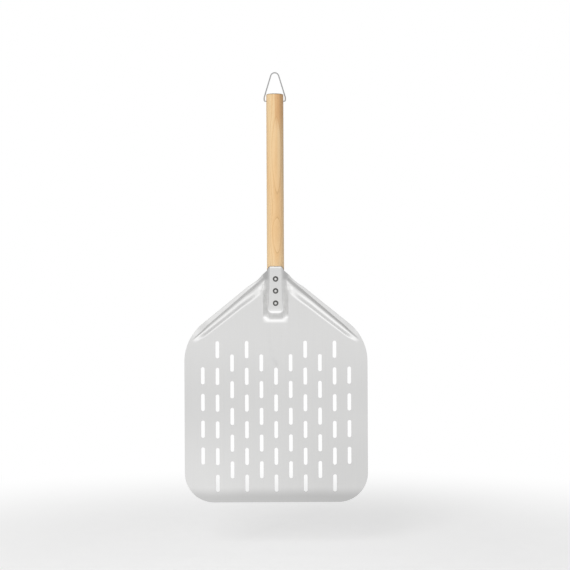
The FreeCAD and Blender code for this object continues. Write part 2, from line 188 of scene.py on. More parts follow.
def sheet_thickness(h):
    u = np.clip((28.0 - h) / 28.0, 0.0, 1.0)
    return SHEET_T - 0.7 * u ** 1.7


def sheet_point(x, h):
    """Upper face: position (x, up, h) and unit normal, in x, up, h."""
    d = 0.02
    up = sheet_thickness(h) + sheet_rise(x, h)
    gx = (sheet_rise(x + d, h) - sheet_rise(x - d, h)) / (2 * d)
    gh = (sheet_rise(x, h + d) + sheet_thickness(h + d) - sheet_rise(x, h - d) - sheet_thickness(h - d)) / (2 * d)
    n = np.stack([-gx, np.ones_like(gx), -gh], -1)
    n /= np.linalg.norm(n, axis=-1, keepdims=True)
    return np.stack([x, up, h], -1), n


# ---------------------------------------------------------------------------
# plan outline and slots
# ---------------------------------------------------------------------------
def arc_between(corner, p, q, r, n):
    c = np.array(corner, float)
    a = np.array(p, float) - c
    b = np.array(q, float) - c
    a /= np.linalg.norm(a)
    b /= np.linalg.norm(b)
    half = math.acos(float(a @ b)) / 2.0
    t = r / math.tan(half)
    m = (a + b) / np.linalg.norm(a + b)
    centre = c + m * (r / math.sin(half))
    v0, v1 = c + a * t - centre, c + b * t - centre
    a0, a1 = math.atan2(v0[1], v0[0]), math.atan2(v1[1], v1[0])
    da = (a1 - a0 + math.pi) % (2 * math.pi) - math.pi
    return [centre + r * np.array((math.cos(a0 + da * i / n), math.sin(a0 + da * i / n))) for i in range(n + 1)]


def cubic_through(pts, n):
    p = np.array(pts, float)
    d = np.concatenate([[0], np.cumsum(np.linalg.norm(np.diff(p, axis=0), axis=1))])
    d /= d[-1]
    cx, cy = np.polyfit(d, p[:, 0], 3), np.polyfit(d, p[:, 1], 3)
    t = np.linspace(0, 1, n + 1)
    return [np.array((a, b)) for a, b in zip(np.polyval(cx, t), np.polyval(cy, t))]


def half_outline():
    def sx(h):
        return HALF_W - (h - H_SIDE_CORNER) * (SHOULDER_DX + 0.0105)
    top = (sx(353.0), 353.0)
    out = [np.array((0.0, 0.0))]
    out += arc_between((HALF_W, 0.0), (0.0, 0.0), (HALF_W, 200.0), R_FRONT, 44)
    out += arc_between((HALF_W, H_SIDE_CORNER), (HALF_W, 0.0), top, R_SIDE, 40)
    out += cubic_through([top, (38.0, 357.9), (30.2, 363.9), (23.3, 370.9)], 24)
    out += [np.array(p) for p in ((23.0, 371.5), (22.5, 372.2), (21.8, 372.9), (21.0, 373.6), (20.2, 374.3))]
    out += cubic_through([(15.7, 378.3), (13.3, 381.2), (11.4, 384.4), (TONGUE_HALF, H_TONGUE)], 14)
    out.append(np.array((0.0, H_TONGUE)))
    clean = [out[0]]
    for p in out[1:]:
        if np.linalg.norm(p - clean[-1]) > 0.05:
            clean.append(p)
    return np.array(clean)


def resample(loop, step_at):
    """Even out a closed polyline, keeping its corners."""
    out = []
    n = len(loop)
    for i in range(n):
        a, b = loop[i], loop[(i + 1) % n]
        length = float(np.linalg.norm(b - a))
        k = max(1, int(math.ceil(length / step_at((a + b) / 2))))
        for j in range(k):
            out.append(a + (b - a) * j / k)
    return np.array(out)


def outline_loop():
    right = half_outline()
    left = right[::-1].copy()
    left[:, 0] *= -1.0
    loop = np.concatenate([right, left[1:-1]])
    return resample(loop, lambda m: 1.3 if m[1] > 250.0 else 3.0)


def slot_centres():
    out = []
    for i in range(-5, 6):
        x = i * COL_PITCH
        if abs(i) == 5:
            rows = [ROW_EVEN_0 + ROW_PITCH * n + OUTER_COL_LIFT for n in range(1, 5)]
        elif abs(i) in (2, 4):
            rows = [ROW_EVEN_0 + ROW_PITCH * n for n in range(6)]
        elif i == 0:
            rows = [ROW_EVEN_0 + ROW_PITCH * n for n in range(5)]
        else:
            rows = [ROW_ODD_0 + ROW_PITCH * n for n in range(5)]
        out += [(x, h) for h in rows]
    return out


def slot_loop(x, h):
    """Clockwise, so that the metal is always on the left of the loop."""
    r, d = SLOT_W / 2.0, SLOT_L / 2.0 - SLOT_W / 2.0
    n = 14
    pts = []
    for i in range(n + 1):
        a = math.pi - math.pi * i / n
        pts.append((x + r * math.cos(a), h + d + r * math.sin(a)))
    for j in range(1, 5):
        pts.append((x + r, h + d - 2 * d * j / 5))
    for i in range(n + 1):
        a = -math.pi * i / n
        pts.append((x + r * math.cos(a), h - d + r * math.sin(a)))
    for j in range(1, 5):
        pts.append((x - r, h - d + 2 * d * j / 5))
    return np.array(pts)


def loop_normals(loop):
    """Unit vectors out of the metal, to the right of the loop's direction."""
    t = np.roll(loop, -1, 0) - np.roll(loop, 1, 0)
    a = loop - np.roll(loop, 1, 0)
    b = np.roll(loop, -1, 0) - loop
    a /= np.linalg.norm(a, axis=1, keepdims=True)
    b /= np.linalg.norm(b, axis=1, keepdims=True)
    t = a + b
    t /= np.linalg.norm(t, axis=1, keepdims=True)
    return np.stack([t[:, 1], -t[:, 0]], -1)


def inside_polygon(p, poly):
    res = np.zeros(len(p), bool)
    x, y = p[:, 0], p[:, 1]
    a, b = poly, np.roll(poly, -1, 0)
    for (x0, y0), (x1, y1) in zip(a, b):
        if y0 == y1:
            continue
        hit = (y0 > y) != (y1 > y)
        xi = (x1 - x0) * (y - y0) / (y1 - y0) + x0
        res ^= hit & (x < xi)
    return res


INSET = 0.30
RIM = [  # inset from the cut, share of the roll, angle of the normal away from the face
    (0.30, 0.0, 0.0), (0.165, 0.025, 24.0), (0.06, 0.10, 50.0), (0.0, 0.30, 88.0),
    (0.0, -0.24, 92.0), (0.05, -0.07, 130.0), (0.14, -0.02, 156.0), (0.30, 0.0, 180.0)]


def make_blade():
    loops = [outline_loop()] + [slot_loop(x, h) for x, h in slot_centres()]
    mids = [loop_normals(l) for l in loops]
    insets = [l - INSET * m for l, m in zip(loops, mids)]
    boundary = np.concatenate(insets)
    starts = np.cumsum([0] + [len(l) for l in loops])

    # interior points: dense where the sheet is formed, sparse on the flat
    def hexgrid(x0, x1, y0, y1, s):
        rows = np.arange(y0, y1, s * 0.866)
        out = []
        for i, y in enumerate(rows):
            xs = np.arange(x0 + (0.5 * s if i % 2 else 0.0), x1, s)
            out.append(np.stack([xs, np.full_like(xs, y)], -1))
        return np.concatenate(out)
    fine = hexgrid(-142.0, 142.0, 226.0, 386.0, 0.75)
    x, h = fine[:, 0], fine[:, 1]
    d = 1.1
    def formed(x, h):
        return np.maximum(np.maximum(socket_rise(x, h), bead_rise(x, h, 1.0)), bead_rise(x, h, -1.0)) > 1e-4
    keep = formed(x, h) | formed(x + d, h) | formed(x - d, h) | formed(x, h + d) | formed(x, h - d)
    fine = fine[keep]
    coarse = hexgrid(-149.0, 149.0, 1.0, 386.0, 5.0)
    x, h = coarse[:, 0], coarse[:, 1]
    near = formed(x, h) | formed(x + 2, h) | formed(x - 2, h) | formed(x, h + 2) | formed(x, h - 2)
    coarse = coarse[~near]
    taper = hexgrid(-149.0, 149.0, 0.8, 29.0, 2.6)
    coarse = np.concatenate([coarse[coarse[:, 1] > 29.5], taper])
    pts = np.concatenate([fine, coarse])
    pts = pts[inside_polygon(pts, insets[0])]

    def clear(pts, ref, gap):
        """Points that keep at least gap from every reference point (grid buckets)."""
        cell = gap
        table = {}
        for i, (a, b) in enumerate(ref):
            table.setdefault((int(a // cell), int(b // cell)), []).append(i)
        ok = np.ones(len(pts), bool)
        for i, (a, b) in enumerate(pts):
            ca, cb = int(a // cell), int(b // cell)
            for u in (-1, 0, 1):
                for v in (-1, 0, 1):
                    for j in table.get((ca + u, cb + v), ()):
                        if (ref[j][0] - a) ** 2 + (ref[j][1] - b) ** 2 < gap * gap:
                            ok[i] = False
                            break
                    if not ok[i]:
                        break
                if not ok[i]:
                    break
        return ok
    pts = pts[clear(pts, boundary, 0.5)]

    def stadium(p, grow):
        inside = np.zeros(len(p), bool)
        r, d = SLOT_W / 2.0, SLOT_L / 2.0 - SLOT_W / 2.0
        for cx, ch in slot_centres():
            dx = p[:, 0] - cx
            dh = np.maximum(np.abs(p[:, 1] - ch) - d, 0.0)
            inside |= dx * dx + dh * dh < (r + grow) ** 2
        return inside
    pts = pts[~stadium(pts, INSET + 0.5)]

    all2d = np.concatenate([boundary, pts])
    edges = []
    for a, b in zip(starts[:-1], starts[1:]):
        edges += [(int(i), int(i + 1 if i + 1 < b else a)) for i in range(a, b)]
    vs, es, fs, ov, oe, of_ = delaunay_2d_cdt([Vector((float(a), float(b))) for a, b in all2d], edges, [], 0, 1e-7)
    v2 = np.array([(v.x, v.y) for v in vs])
    where = {}
    for i, src in enumerate(ov):
        for s in src:
            where[s] = i
    tri = np.array([f for f in fs if len(f) == 3])
    cen = v2[tri].mean(1)
    good = inside_polygon(cen, insets[0]) & ~stadium(cen, INSET * 0.6)
    tri = tri[good]
    # a triangle whose three corners lie on one slot's rim would close part of that slot
    rim_of = -np.ones(len(v2), int)
    for k in range(1, len(loops)):
        for i in range(int(starts[k]), int(starts[k + 1])):
            rim_of[where[i]] = k
    on_rim = rim_of[tri]
    tri = tri[~((on_rim[:, 0] >= 0) & (on_rim[:, 0] == on_rim[:, 1]) & (on_rim[:, 1] == on_rim[:, 2]))]
    area = (v2[tri[:, 1], 0] - v2[tri[:, 0], 0]) * (v2[tri[:, 2], 1] - v2[tri[:, 0], 1]) - \
           (v2[tri[:, 2], 0] - v2[tri[:, 0], 0]) * (v2[tri[:, 1], 1] - v2[tri[:, 0], 1])
    tri[area < 0] = tri[area < 0][:, ::-1]
    used = np.unique(tri)
    remap = -np.ones(len(v2), int)
    remap[used] = np.arange(len(used))
    v2, tri = v2[used], remap[tri]

    top, nrm = sheet_point(v2[:, 0], v2[:, 1])
    thick = sheet_thickness(v2[:, 1])
    low = top - nrm * thick[:, None]
    n2 = len(v2)
    verts = [top, low]
    norms = [nrm, -nrm]
    faces = [tuple(t) for t in tri] + [(int(c) + n2, int(b) + n2, int(a) + n2) for a, b, c in tri]
    base = 2 * n2
    for li, (loop, m) in enumerate(zip(loops, mids)):
        n = len(loop)
        idx_top = [int(remap[where[int(starts[li] + i)]]) for i in range(n)]
        rings = [idx_top]
        for inset, share, ang in RIM[1:-1]:
            p2 = loop - m * inset
            p, nn = sheet_point(p2[:, 0], p2[:, 1])
            t = sheet_thickness(p2[:, 1])
            depth = np.where(share >= 0, share * np.minimum(1.0, t / 1.2), t + share * np.minimum(1.0, t / 1.2)) \
                if not isinstance(share, np.ndarray) else share
            p = p - nn * depth[:, None]
            side = np.stack([m[:, 0], np.zeros(n), m[:, 1]], -1)
            side = side - nn * np.sum(side * nn, 1)[:, None]
            side /= np.linalg.norm(side, axis=1, keepdims=True)
            a = math.radians(ang)
            verts.append(p)
            norms.append(nn * math.cos(a) + side * math.sin(a))
            rings.append(list(range(base, base + n)))
            base += n
        rings.append([i + n2 for i in idx_top])
        for r0, r1 in zip(rings[:-1], rings[1:]):
            for i in range(n):
                j = (i + 1) % n
                faces.append((r0[i], r1[i], r1[j], r0[j]))
    verts = np.concatenate(verts)
    norms = np.concatenate(norms)
    wx, wy, wz = world(verts[:, 0], verts[:, 1], verts[:, 2])
    co = np.stack([wx, wy, wz], -1)
    wn = np.stack([norms[:, 0], -norms[:, 1], norms[:, 2]], -1)
    mesh = bpy.data.meshes.new("blade_sheet")
    mesh.from_pydata([tuple(c) for c in co], [], faces)
    mesh.polygons.foreach_set("use_smooth", np.ones(len(mesh.polygons), bool))
    uv = mesh.uv_layers.new(name="plan")
    li = np.zeros(len(mesh.loops), np.int32)
    mesh.loops.foreach_get("vertex_index", li)
    uv.data.foreach_set("uv", (co[li][:, [0, 2]] * 2.0 + 0.5).astype(np.float32).ravel())
    mesh.update()
    mesh.normals_split_custom_set_from_vertices([tuple(v) for v in wn])
    obj = bpy.data.objects.new("blade_sheet", mesh)
    bpy.context.scene.collection.objects.link(obj)
    return obj


# ---------------------------------------------------------------------------
# small mesh tools
# ---------------------------------------------------------------------------
def link(mesh, name):
    obj = bpy.data.objects.new(name, mesh)
    bpy.context.scene.collection.objects.link(obj)
    return obj


def mesh_obj(name, verts, faces):
    mesh = bpy.data.meshes.new(name)
    mesh.from_pydata([tuple(float(c) for c in v) for v in verts], [], faces)
    mesh.update()
    return link(mesh, name)


def drop(obj):
    mesh = obj.data
    bpy.data.objects.remove(obj)
    bpy.data.meshes.remove(mesh)


def apply_modifiers(obj):
    dg = bpy.context.evaluated_depsgraph_get()
    mesh = bpy.data.meshes.new_from_object(obj.evaluated_get(dg))
    old = obj.data
    obj.modifiers.clear()
    obj.data = mesh
    mesh.name = obj.name
    bpy.data.meshes.remove(old)


def boolean(obj, other, operation):
    m = obj.modifiers.new("b", "BOOLEAN")
    m.operation = operation
    m.solver = "EXACT"
    m.object = other
    apply_modifiers(obj)
    drop(other)


def prism(name, pts, up0, up1):
    """pts are (x, h); the prism runs from up0 to up1."""
    area = sum(a[0] * b[1] - b[0] * a[1] for a, b in zip(pts, pts[1:] + pts[:1]))
    if area < 0:
        pts = pts[::-1]
    n = len(pts)
    verts = [world(x, up1, h) for x, h in pts] + [world(x, up0, h) for x, h in pts]
    faces = [tuple(range(n)), tuple(range(2 * n - 1, n - 1, -1))]
    for i in range(n):
        j = (i + 1) % n
        faces.append((i, i + n, j + n, j))
    return mesh_obj(name, verts, faces)


def lathe(name, profile, axis_point, axis, ref, segs, close=True):
    """profile: (radius, along) in metres; axis and ref are unit vectors."""
    axis, ref = Vector(axis).normalized(), Vector(ref).normalized()
    other = axis.cross(ref)
    origin = Vector(axis_point)
    verts, rings = [], []
    for r, a in profile:
        if r < 1e-9:
            rings.append([len(verts)])
            verts.append(origin + axis * a)
        else:
            ring = []
            for i in range(segs):
                t = 2 * math.pi * i / segs
                ring.append(len(verts))
                verts.append(origin + axis * a + (ref * math.cos(t) + other * math.sin(t)) * r)
            rings.append(ring)
    faces = []
    for r0, r1 in zip(rings[:-1], rings[1:]):
        for i in range(segs):
            j = (i + 1) % segs
            if len(r0) == 1 and len(r1) == 1:
                continue
            if len(r0) == 1:
                faces.append((r0[0], r1[j], r1[i]))
            elif len(r1) == 1:
                faces.append((r0[i], r0[j], r1[0]))
            else:
                faces.append((r0[i], r0[j], r1[j], r1[i]))
    obj = mesh_obj(name, verts, faces)
    bm = bmesh.new()
    bm.from_mesh(obj.data)
    bmesh.ops.recalc_face_normals(bm, faces=bm.faces)
    bm.to_mesh(obj.data)
    bm.free()
    return obj


def shade(obj, angle=35.0):
    mesh = obj.data
    mesh.polygons.foreach_set("use_smooth", np.ones(len(mesh.polygons), bool))
    bm = bmesh.new()
    bm.from_mesh(mesh)
    limit = math.radians(angle)
    for e in bm.edges:
        e.smooth = not (len(e.link_faces) == 2 and e.calc_face_angle(0.0) > limit)
    bm.to_mesh(mesh)
    bm.free()


def tube(name, path, radius, segs=20, cap=3):
    """Round wire along a smooth list of points in metres, ends rounded off."""
    p = [Vector(q) for q in path]
    tang = []
    for i in range(len(p)):
        a = p[max(0, i - 1)]
        b = p[min(len(p) - 1, i + 1)]
        tang.append((b - a).normalized())
    side = Vector((0, 1, 0))
    verts, rings = [], []

    def ring(c, t, r):
        u = (side - t * side.dot(t)).normalized()
        w = t.cross(u)
        ids = []
        for i in range(segs):
            a = 2 * math.pi * i / segs
            ids.append(len(verts))
            verts.append(c + (u * math.cos(a) + w * math.sin(a)) * r)
        rings.append(ids)
    for k in range(cap, 0, -1):
        a = math.pi / 2 * k / (cap + 0.6)
        ring(p[0] - tang[0] * radius * (math.sin(a) * 0.5 - 0.5), tang[0], radius * math.cos(a))
    for c, t in list(zip(p, tang))[1:-1]:
        ring(c, t, radius)
    for k in range(1, cap + 1):
        a = math.pi / 2 * k / (cap + 0.6)
        ring(p[-1] + tang[-1] * radius * (math.sin(a) * 0.5 - 0.5), tang[-1], radius * math.cos(a))
    faces = []
    for r0, r1 in zip(rings[:-1], rings[1:]):
        for i in range(segs):
            j = (i + 1) % segs
            faces.append((r0[i], r0[j], r1[j], r1[i]))
    faces.append(tuple(reversed(rings[0])))
    faces.append(tuple(rings[-1]))
    obj = mesh_obj(name, verts, faces)
    bm = bmesh.new()
    bm.from_mesh(obj.data)
    bmesh.ops.recalc_face_normals(bm, faces=bm.faces)
    bm.to_mesh(obj.data)
    bm.free()
    return obj


# ---------------------------------------------------------------------------
# handle
# ---------------------------------------------------------------------------
AXIS_UP = Y_UNDER / MM
H_LAP_END, H_SHOULDER, H_TOP = 318.0, 386.7, 668.4


def lap_ring(h):
    c = 13.0 + (371.0 - h) * 0.09
    half = [(c + 2.1, 0.0), (c - 3.6, 9.2), (c - 6.6, 11.7)]
    pts = [(x, up) for x, up in half] + [(-x, up) for x, up in reversed(half)]
    return [world(x, up, h) for x, up in pts]


def make_handle():
    r = 14.0 * MM
    length = (H_TOP - H_LAP_END) * MM
    base = world(0.0, AXIS_UP, H_LAP_END)
    base = (float(base[0]), float(base[1]), float(base[2]))
    rr = 1.5 * MM
    prof = [(0.0, 0.0), (r, 0.0)]
    for a in range(1, 6):
        prof.append((r, length * a / 6.0))
    for i in range(0, 11):
        a = math.pi / 2 * i / 10
        prof.append((r - rr + rr * math.cos(a), length - rr + rr * math.sin(a)))
    prof.append((0.0, length))
    rod = lathe("handle_rod", prof, base, (0, 0, 1), (1, 0, 0), 144)
    neck = [(-40.0, 300.0), (40.0, 300.0), (40.0, 378.9), (15.6, 378.9), (14.7, 380.0), (13.8, 381.3), (12.9, 383.0),
            (12.0, 384.7), (11.0, 385.7), (9.8, 386.4), (8.5, H_SHOULDER)]
    neck = neck + [(-x, h) for x, h in reversed(neck[2:])] 
    boolean(rod, prism("cut_neck", neck, -0.6, 24.0), "DIFFERENCE")
    # back: halved flush with the underside, then a slope up to the full round
    x0, x1 = -30 * MM, 30 * MM
    yb = Y_UNDER
    z0, zs = Z_FRONT + 290 * MM, Z_FRONT + 388.0 * MM
    sec = [(yb, z0), (yb, zs - 2.2 * MM), (yb + 0.4 * MM, zs - 0.4 * MM), (yb + 1.5 * MM, zs + 1.5 * MM),
           (yb + 16 * MM, zs + 16 * MM), (yb + 16 * MM, z0)]
    n = len(sec)
    verts = [(x0, y, z) for y, z in sec] + [(x1, y, z) for y, z in sec]
    faces = [tuple(range(n)), tuple(range(2 * n - 1, n - 1, -1))]
    for i in range(n):
        j = (i + 1) % n
        faces.append((i, i + n, j + n, j))
    back = mesh_obj("cut_back", verts, faces)
    bm = bmesh.new()
    bm.from_mesh(back.data)
    bmesh.ops.recalc_face_normals(bm, faces=bm.faces)
    bm.to_mesh(back.data)
    bm.free()
    boolean(rod, back, "DIFFERENCE")
    # the halved part that lies in the socket
    lo, hi = lap_ring(H_LAP_END), lap_ring(H_SHOULDER + 0.8)
    n = len(lo)
    faces = [tuple(range(n)), tuple(range(2 * n - 1, n - 1, -1))] + \
            [(i, i + n, (i + 1) % n + n, (i + 1) % n) for i in range(n)]
    lap = mesh_obj("lap", lo + hi, faces)
    bm = bmesh.new()
    bm.from_mesh(lap.data)
    bmesh.ops.recalc_face_normals(bm, faces=bm.faces)
    bm.to_mesh(lap.data)
    bm.free()
    core = lathe("core", [(0.0, -1 * MM), (r, -1 * MM), (r, 80 * MM), (0.0, 80 * MM)], base, (0, 0, 1), (1, 0, 0), 144)
    boolean(lap, core, "INTERSECT")
    boolean(rod, lap, "UNION")
    for h in RIVET_H.values():
        p = world(0.0, -2.0, h)
        boolean(rod, lathe("recess", [(0.0, 0.0), (5.8 * MM, 0.0), (5.8 * MM, 4.6 * MM), (0.0, 4.6 * MM)],
                           tuple(float(c) for c in p), (0, -1, 0), (1, 0, 0), 56), "DIFFERENCE")
    for side in (1.0, -1.0):
        p = world(side * 7.5, AXIS_UP, 657.0)
        boolean(rod, lathe("cross_hole", [(0.0, 0.0), (1.075 * MM, 0.0), (1.075 * MM, 20 * MM), (0.0, 20 * MM)],
                           tuple(float(c) for c in p), (side, 0, 0), (0, 0, 1), 28), "DIFFERENCE")
    bm = bmesh.new()
    bm.from_mesh(rod.data)
    bmesh.ops.remove_doubles(bm, verts=bm.verts, dist=1e-6)
    bmesh.ops.dissolve_degenerate(bm, edges=bm.edges, dist=1e-6)
    bm.to_mesh(rod.data)
    bm.free()
    rod.name = "handle_beech"
    bev = rod.modifiers.new("bevel", "BEVEL")
    bev.width = 0.30 * MM
    bev.segments = 2
    bev.limit_method = "ANGLE"
    bev.angle_limit = math.radians(38)
    bev.use_clamp_overlap = True
    apply_modifiers(rod)
    bm = bmesh.new()
    bm.from_mesh(rod.data)
    gaps = [e for e in bm.edges if len(e.link_faces) == 1]
    if gaps:
        bmesh.ops.holes_fill(bm, edges=gaps, sides=0)
        bmesh.ops.recalc_face_normals(bm, faces=bm.faces)
    bm.to_mesh(rod.data)
    bm.free()
    shade(rod, 30.0)
    return rod


# ---------------------------------------------------------------------------
# rivets, loop
# ---------------------------------------------------------------------------
def make_rivet(name, h):
    seat = SHEET_T + SOCKET_RISE + 0.03
    prof = [(0.0, seat + 2.30)]
    for i in range(1, 7):                      # crown, slightly domed
        u = i / 6.0
        prof.append((1.95 * u, seat + 2.30 - 0.16 * u * u))
    prof += [(2.02, seat + 2.05), (2.10, seat + 1.92), (2.22, seat + 1.90), (2.36, seat + 1.96)]
    for i in range(1, 10):                     # domed flange
        a = math.radians(18 + 66 * i / 9.0)
        prof.append((2.36 + (4.58 - 2.36) * (math.sin(a) - math.sin(math.radians(18))) /
                     (math.sin(math.radians(84)) - math.sin(math.radians(18))),
                     seat + 0.42 + 1.54 * (math.cos(a) - math.cos(math.radians(84))) /
                     (math.cos(math.radians(18)) - math.cos(math.radians(84)))))
    prof += [(4.60, seat + 0.30), (4.56, seat + 0.10), (4.45, seat), (2.4, seat), (2.4, 1.6), (3.8, 1.6), (3.8, 1.25)]
    for i in range(1, 7):
        a = math.pi / 2 * i / 6
        prof.append((2.6 + 1.2 * math.cos(a), 1.25 - 0.93 * math.sin(a)))
    prof.append((0.0, 0.30))
    prof = [(r * MM, up * MM) for r, up in prof]
    p = world(0.0, 0.0, h)
    obj = lathe(name, prof, tuple(float(c) for c in p), (0, -1, 0), (1, 0, 0), 64)
    shade(obj, 40.0)
    return obj


def arc_pts(corner, p, q, r, n):
    return [tuple(v) for v in arc_between(corner, p, q, r, n)]


def make_bail():
    h_pivot, h_apex, leg, h_kink, slope = 657.0, 704.8, 17.4, 663.3, 0.306
    top_c = h_apex - 1.0
    k = math.hypot(1.0, slope)
    base = leg + slope * h_kink
    r = (base - slope * top_c) / (k - slope)
    cz = top_c - r
    tan_pt = (r / k, cz + r * slope / k)
    pin, foot, kink = (8.0, h_pivot), (leg, h_pivot), (leg, h_kink)
    right = [pin] + [(8.0 + (leg - 2.2 - 8.0) * i / 4, h_pivot) for i in range(1, 4)]
    right += arc_pts(foot, pin, kink, 2.2, 10)
    right += arc_pts(kink, foot, tan_pt, 9.0, 8)
    a, b = np.array(right[-1]), np.array(tan_pt)
    right += [tuple(a + (b - a) * i / 10) for i in range(1, 10)]
    a0 = math.atan2(tan_pt[1] - cz, tan_pt[0])
    apex = [(r * math.cos(a0 + (math.pi - 2 * a0) * i / 32), cz + r * math.sin(a0 + (math.pi - 2 * a0) * i / 32))
            for i in range(33)]
    left = [(-x, h) for x, h in reversed(right)]
    path = right + apex + left
    pts = []
    for x, h in path:
        q = world(x, AXIS_UP, h)
        q = (float(q[0]), float(q[1]), float(q[2]))
        if not pts or (Vector(q) - Vector(pts[-1])).length > 1e-5:
            pts.append(q)
    obj = tube("hanging_wire", pts, 1.0 * MM, 24)
    shade(obj, 50.0)
    return obj


# ---------------------------------------------------------------------------
# materials
# ---------------------------------------------------------------------------
class Nodes:
    def __init__(self, name):
        self.mat = bpy.data.materials.new(name)
        self.mat.use_nodes = True
        self.t = self.mat.node_tree
        self.t.nodes.clear()
        self.out = self.t.nodes.new("ShaderNodeOutputMaterial")
        self.bsdf = self.t.nodes.new("ShaderNodeBsdfPrincipled")
        self.t.links.new(self.bsdf.outputs[0], self.out.inputs[0])
        self.obj = self.t.nodes.new("ShaderNodeTexCoord").outputs["Object"]
        self._xyz = None

    def node(self, kind, **values):
        n = self.t.nodes.new(kind)
        for k, v in values.items():
            setattr(n, k, v)
        return n

    def put(self, socket, value):
        if hasattr(value, "is_output"):
            self.t.links.new(value, socket)
        else:
            socket.default_value = value

    def math(self, op, a, b=0.0, c=0.0, clamp=False):
        n = self.node("ShaderNodeMath", operation=op, use_clamp=clamp)
        self.put(n.inputs[0], a)
        self.put(n.inputs[1], b)
        self.put(n.inputs[2], c)
        return n.outputs[0]

    def xyz(self):
        if self._xyz is None:
            n = self.node("ShaderNodeSeparateXYZ")
            self.put(n.inputs[0], self.obj)
            self._xyz = n.outputs
        return self._xyz

    def combine(self, x, y, z):
        n = self.node("ShaderNodeCombineXYZ")
        for s, v in zip(n.inputs, (x, y, z)):
            self.put(s, v)
        return n.outputs[0]

    def mapping(self, scale, vec=None, loc=(0, 0, 0), rot=(0, 0, 0)):
        n = self.node("ShaderNodeMapping")
        self.put(n.inputs["Vector"], vec if vec is not None else self.obj)
        n.inputs["Scale"].default_value = scale
        n.inputs["Location"].default_value = loc
        n.inputs["Rotation"].default_value = rot
        return n.outputs[0]

    def noise(self, vec, scale=1.0, detail=3.0, rough=0.5, distort=0.0):
        n = self.node("ShaderNodeTexNoise")
        self.put(n.inputs["Vector"], vec)
        n.inputs["Scale"].default_value = scale
        n.inputs["Detail"].default_value = detail
        n.inputs["Roughness"].default_value = rough
        n.inputs["Distortion"].default_value = distort
        return n.outputs["Fac"] if "Fac" in n.outputs else n.outputs[0]

    def ramp(self, fac, stops, mode="LINEAR"):
        n = self.node("ShaderNodeValToRGB")
        n.color_ramp.interpolation = mode
        els = n.color_ramp.elements
        while len(els) < len(stops):
            els.new(0.5)
        for e, (p, c) in zip(els, stops):
            e.position = p
            e.color = c if len(c) == 4 else (*c, 1.0)
        self.put(n.inputs[0], fac)
        return n.outputs[0]

    def value_ramp(self, fac, stops, mode="LINEAR"):
        return self.ramp(fac, [(p, (v, v, v, 1.0)) for p, v in stops], mode)

    def range(self, value, a, b, lo=0.0, hi=1.0, kind="SMOOTHSTEP"):
        n = self.node("ShaderNodeMapRange", interpolation_type=kind)
        self.put(n.inputs["Value"], value)
        for k, v in (("From Min", a), ("From Max", b), ("To Min", lo), ("To Max", hi)):
            self.put(n.inputs[k], v)
        return n.outputs["Result"]

    def mix(self, fac, a, b, mode="MIX"):
        n = self.node("ShaderNodeMix", data_type="RGBA", blend_type=mode)
        self.put(n.inputs["Factor"], fac)
        self.put(n.inputs["A"] if False else n.inputs[6], a if hasattr(a, "is_output") or len(a) == 4 else (*a, 1.0))
        self.put(n.inputs[7], b if hasattr(b, "is_output") or len(b) == 4 else (*b, 1.0))
        return n.outputs[2]

    def bump(self, height, strength, distance, normal=None):
        n = self.node("ShaderNodeBump")
        self.put(n.inputs["Height"], height)
        n.inputs["Strength"].default_value = strength
        n.inputs["Distance"].default_value = distance
        if normal is not None:
            self.put(n.inputs["Normal"], normal)
        return n.outputs[0]


ALU = dict(base=0.88, rough=0.30)


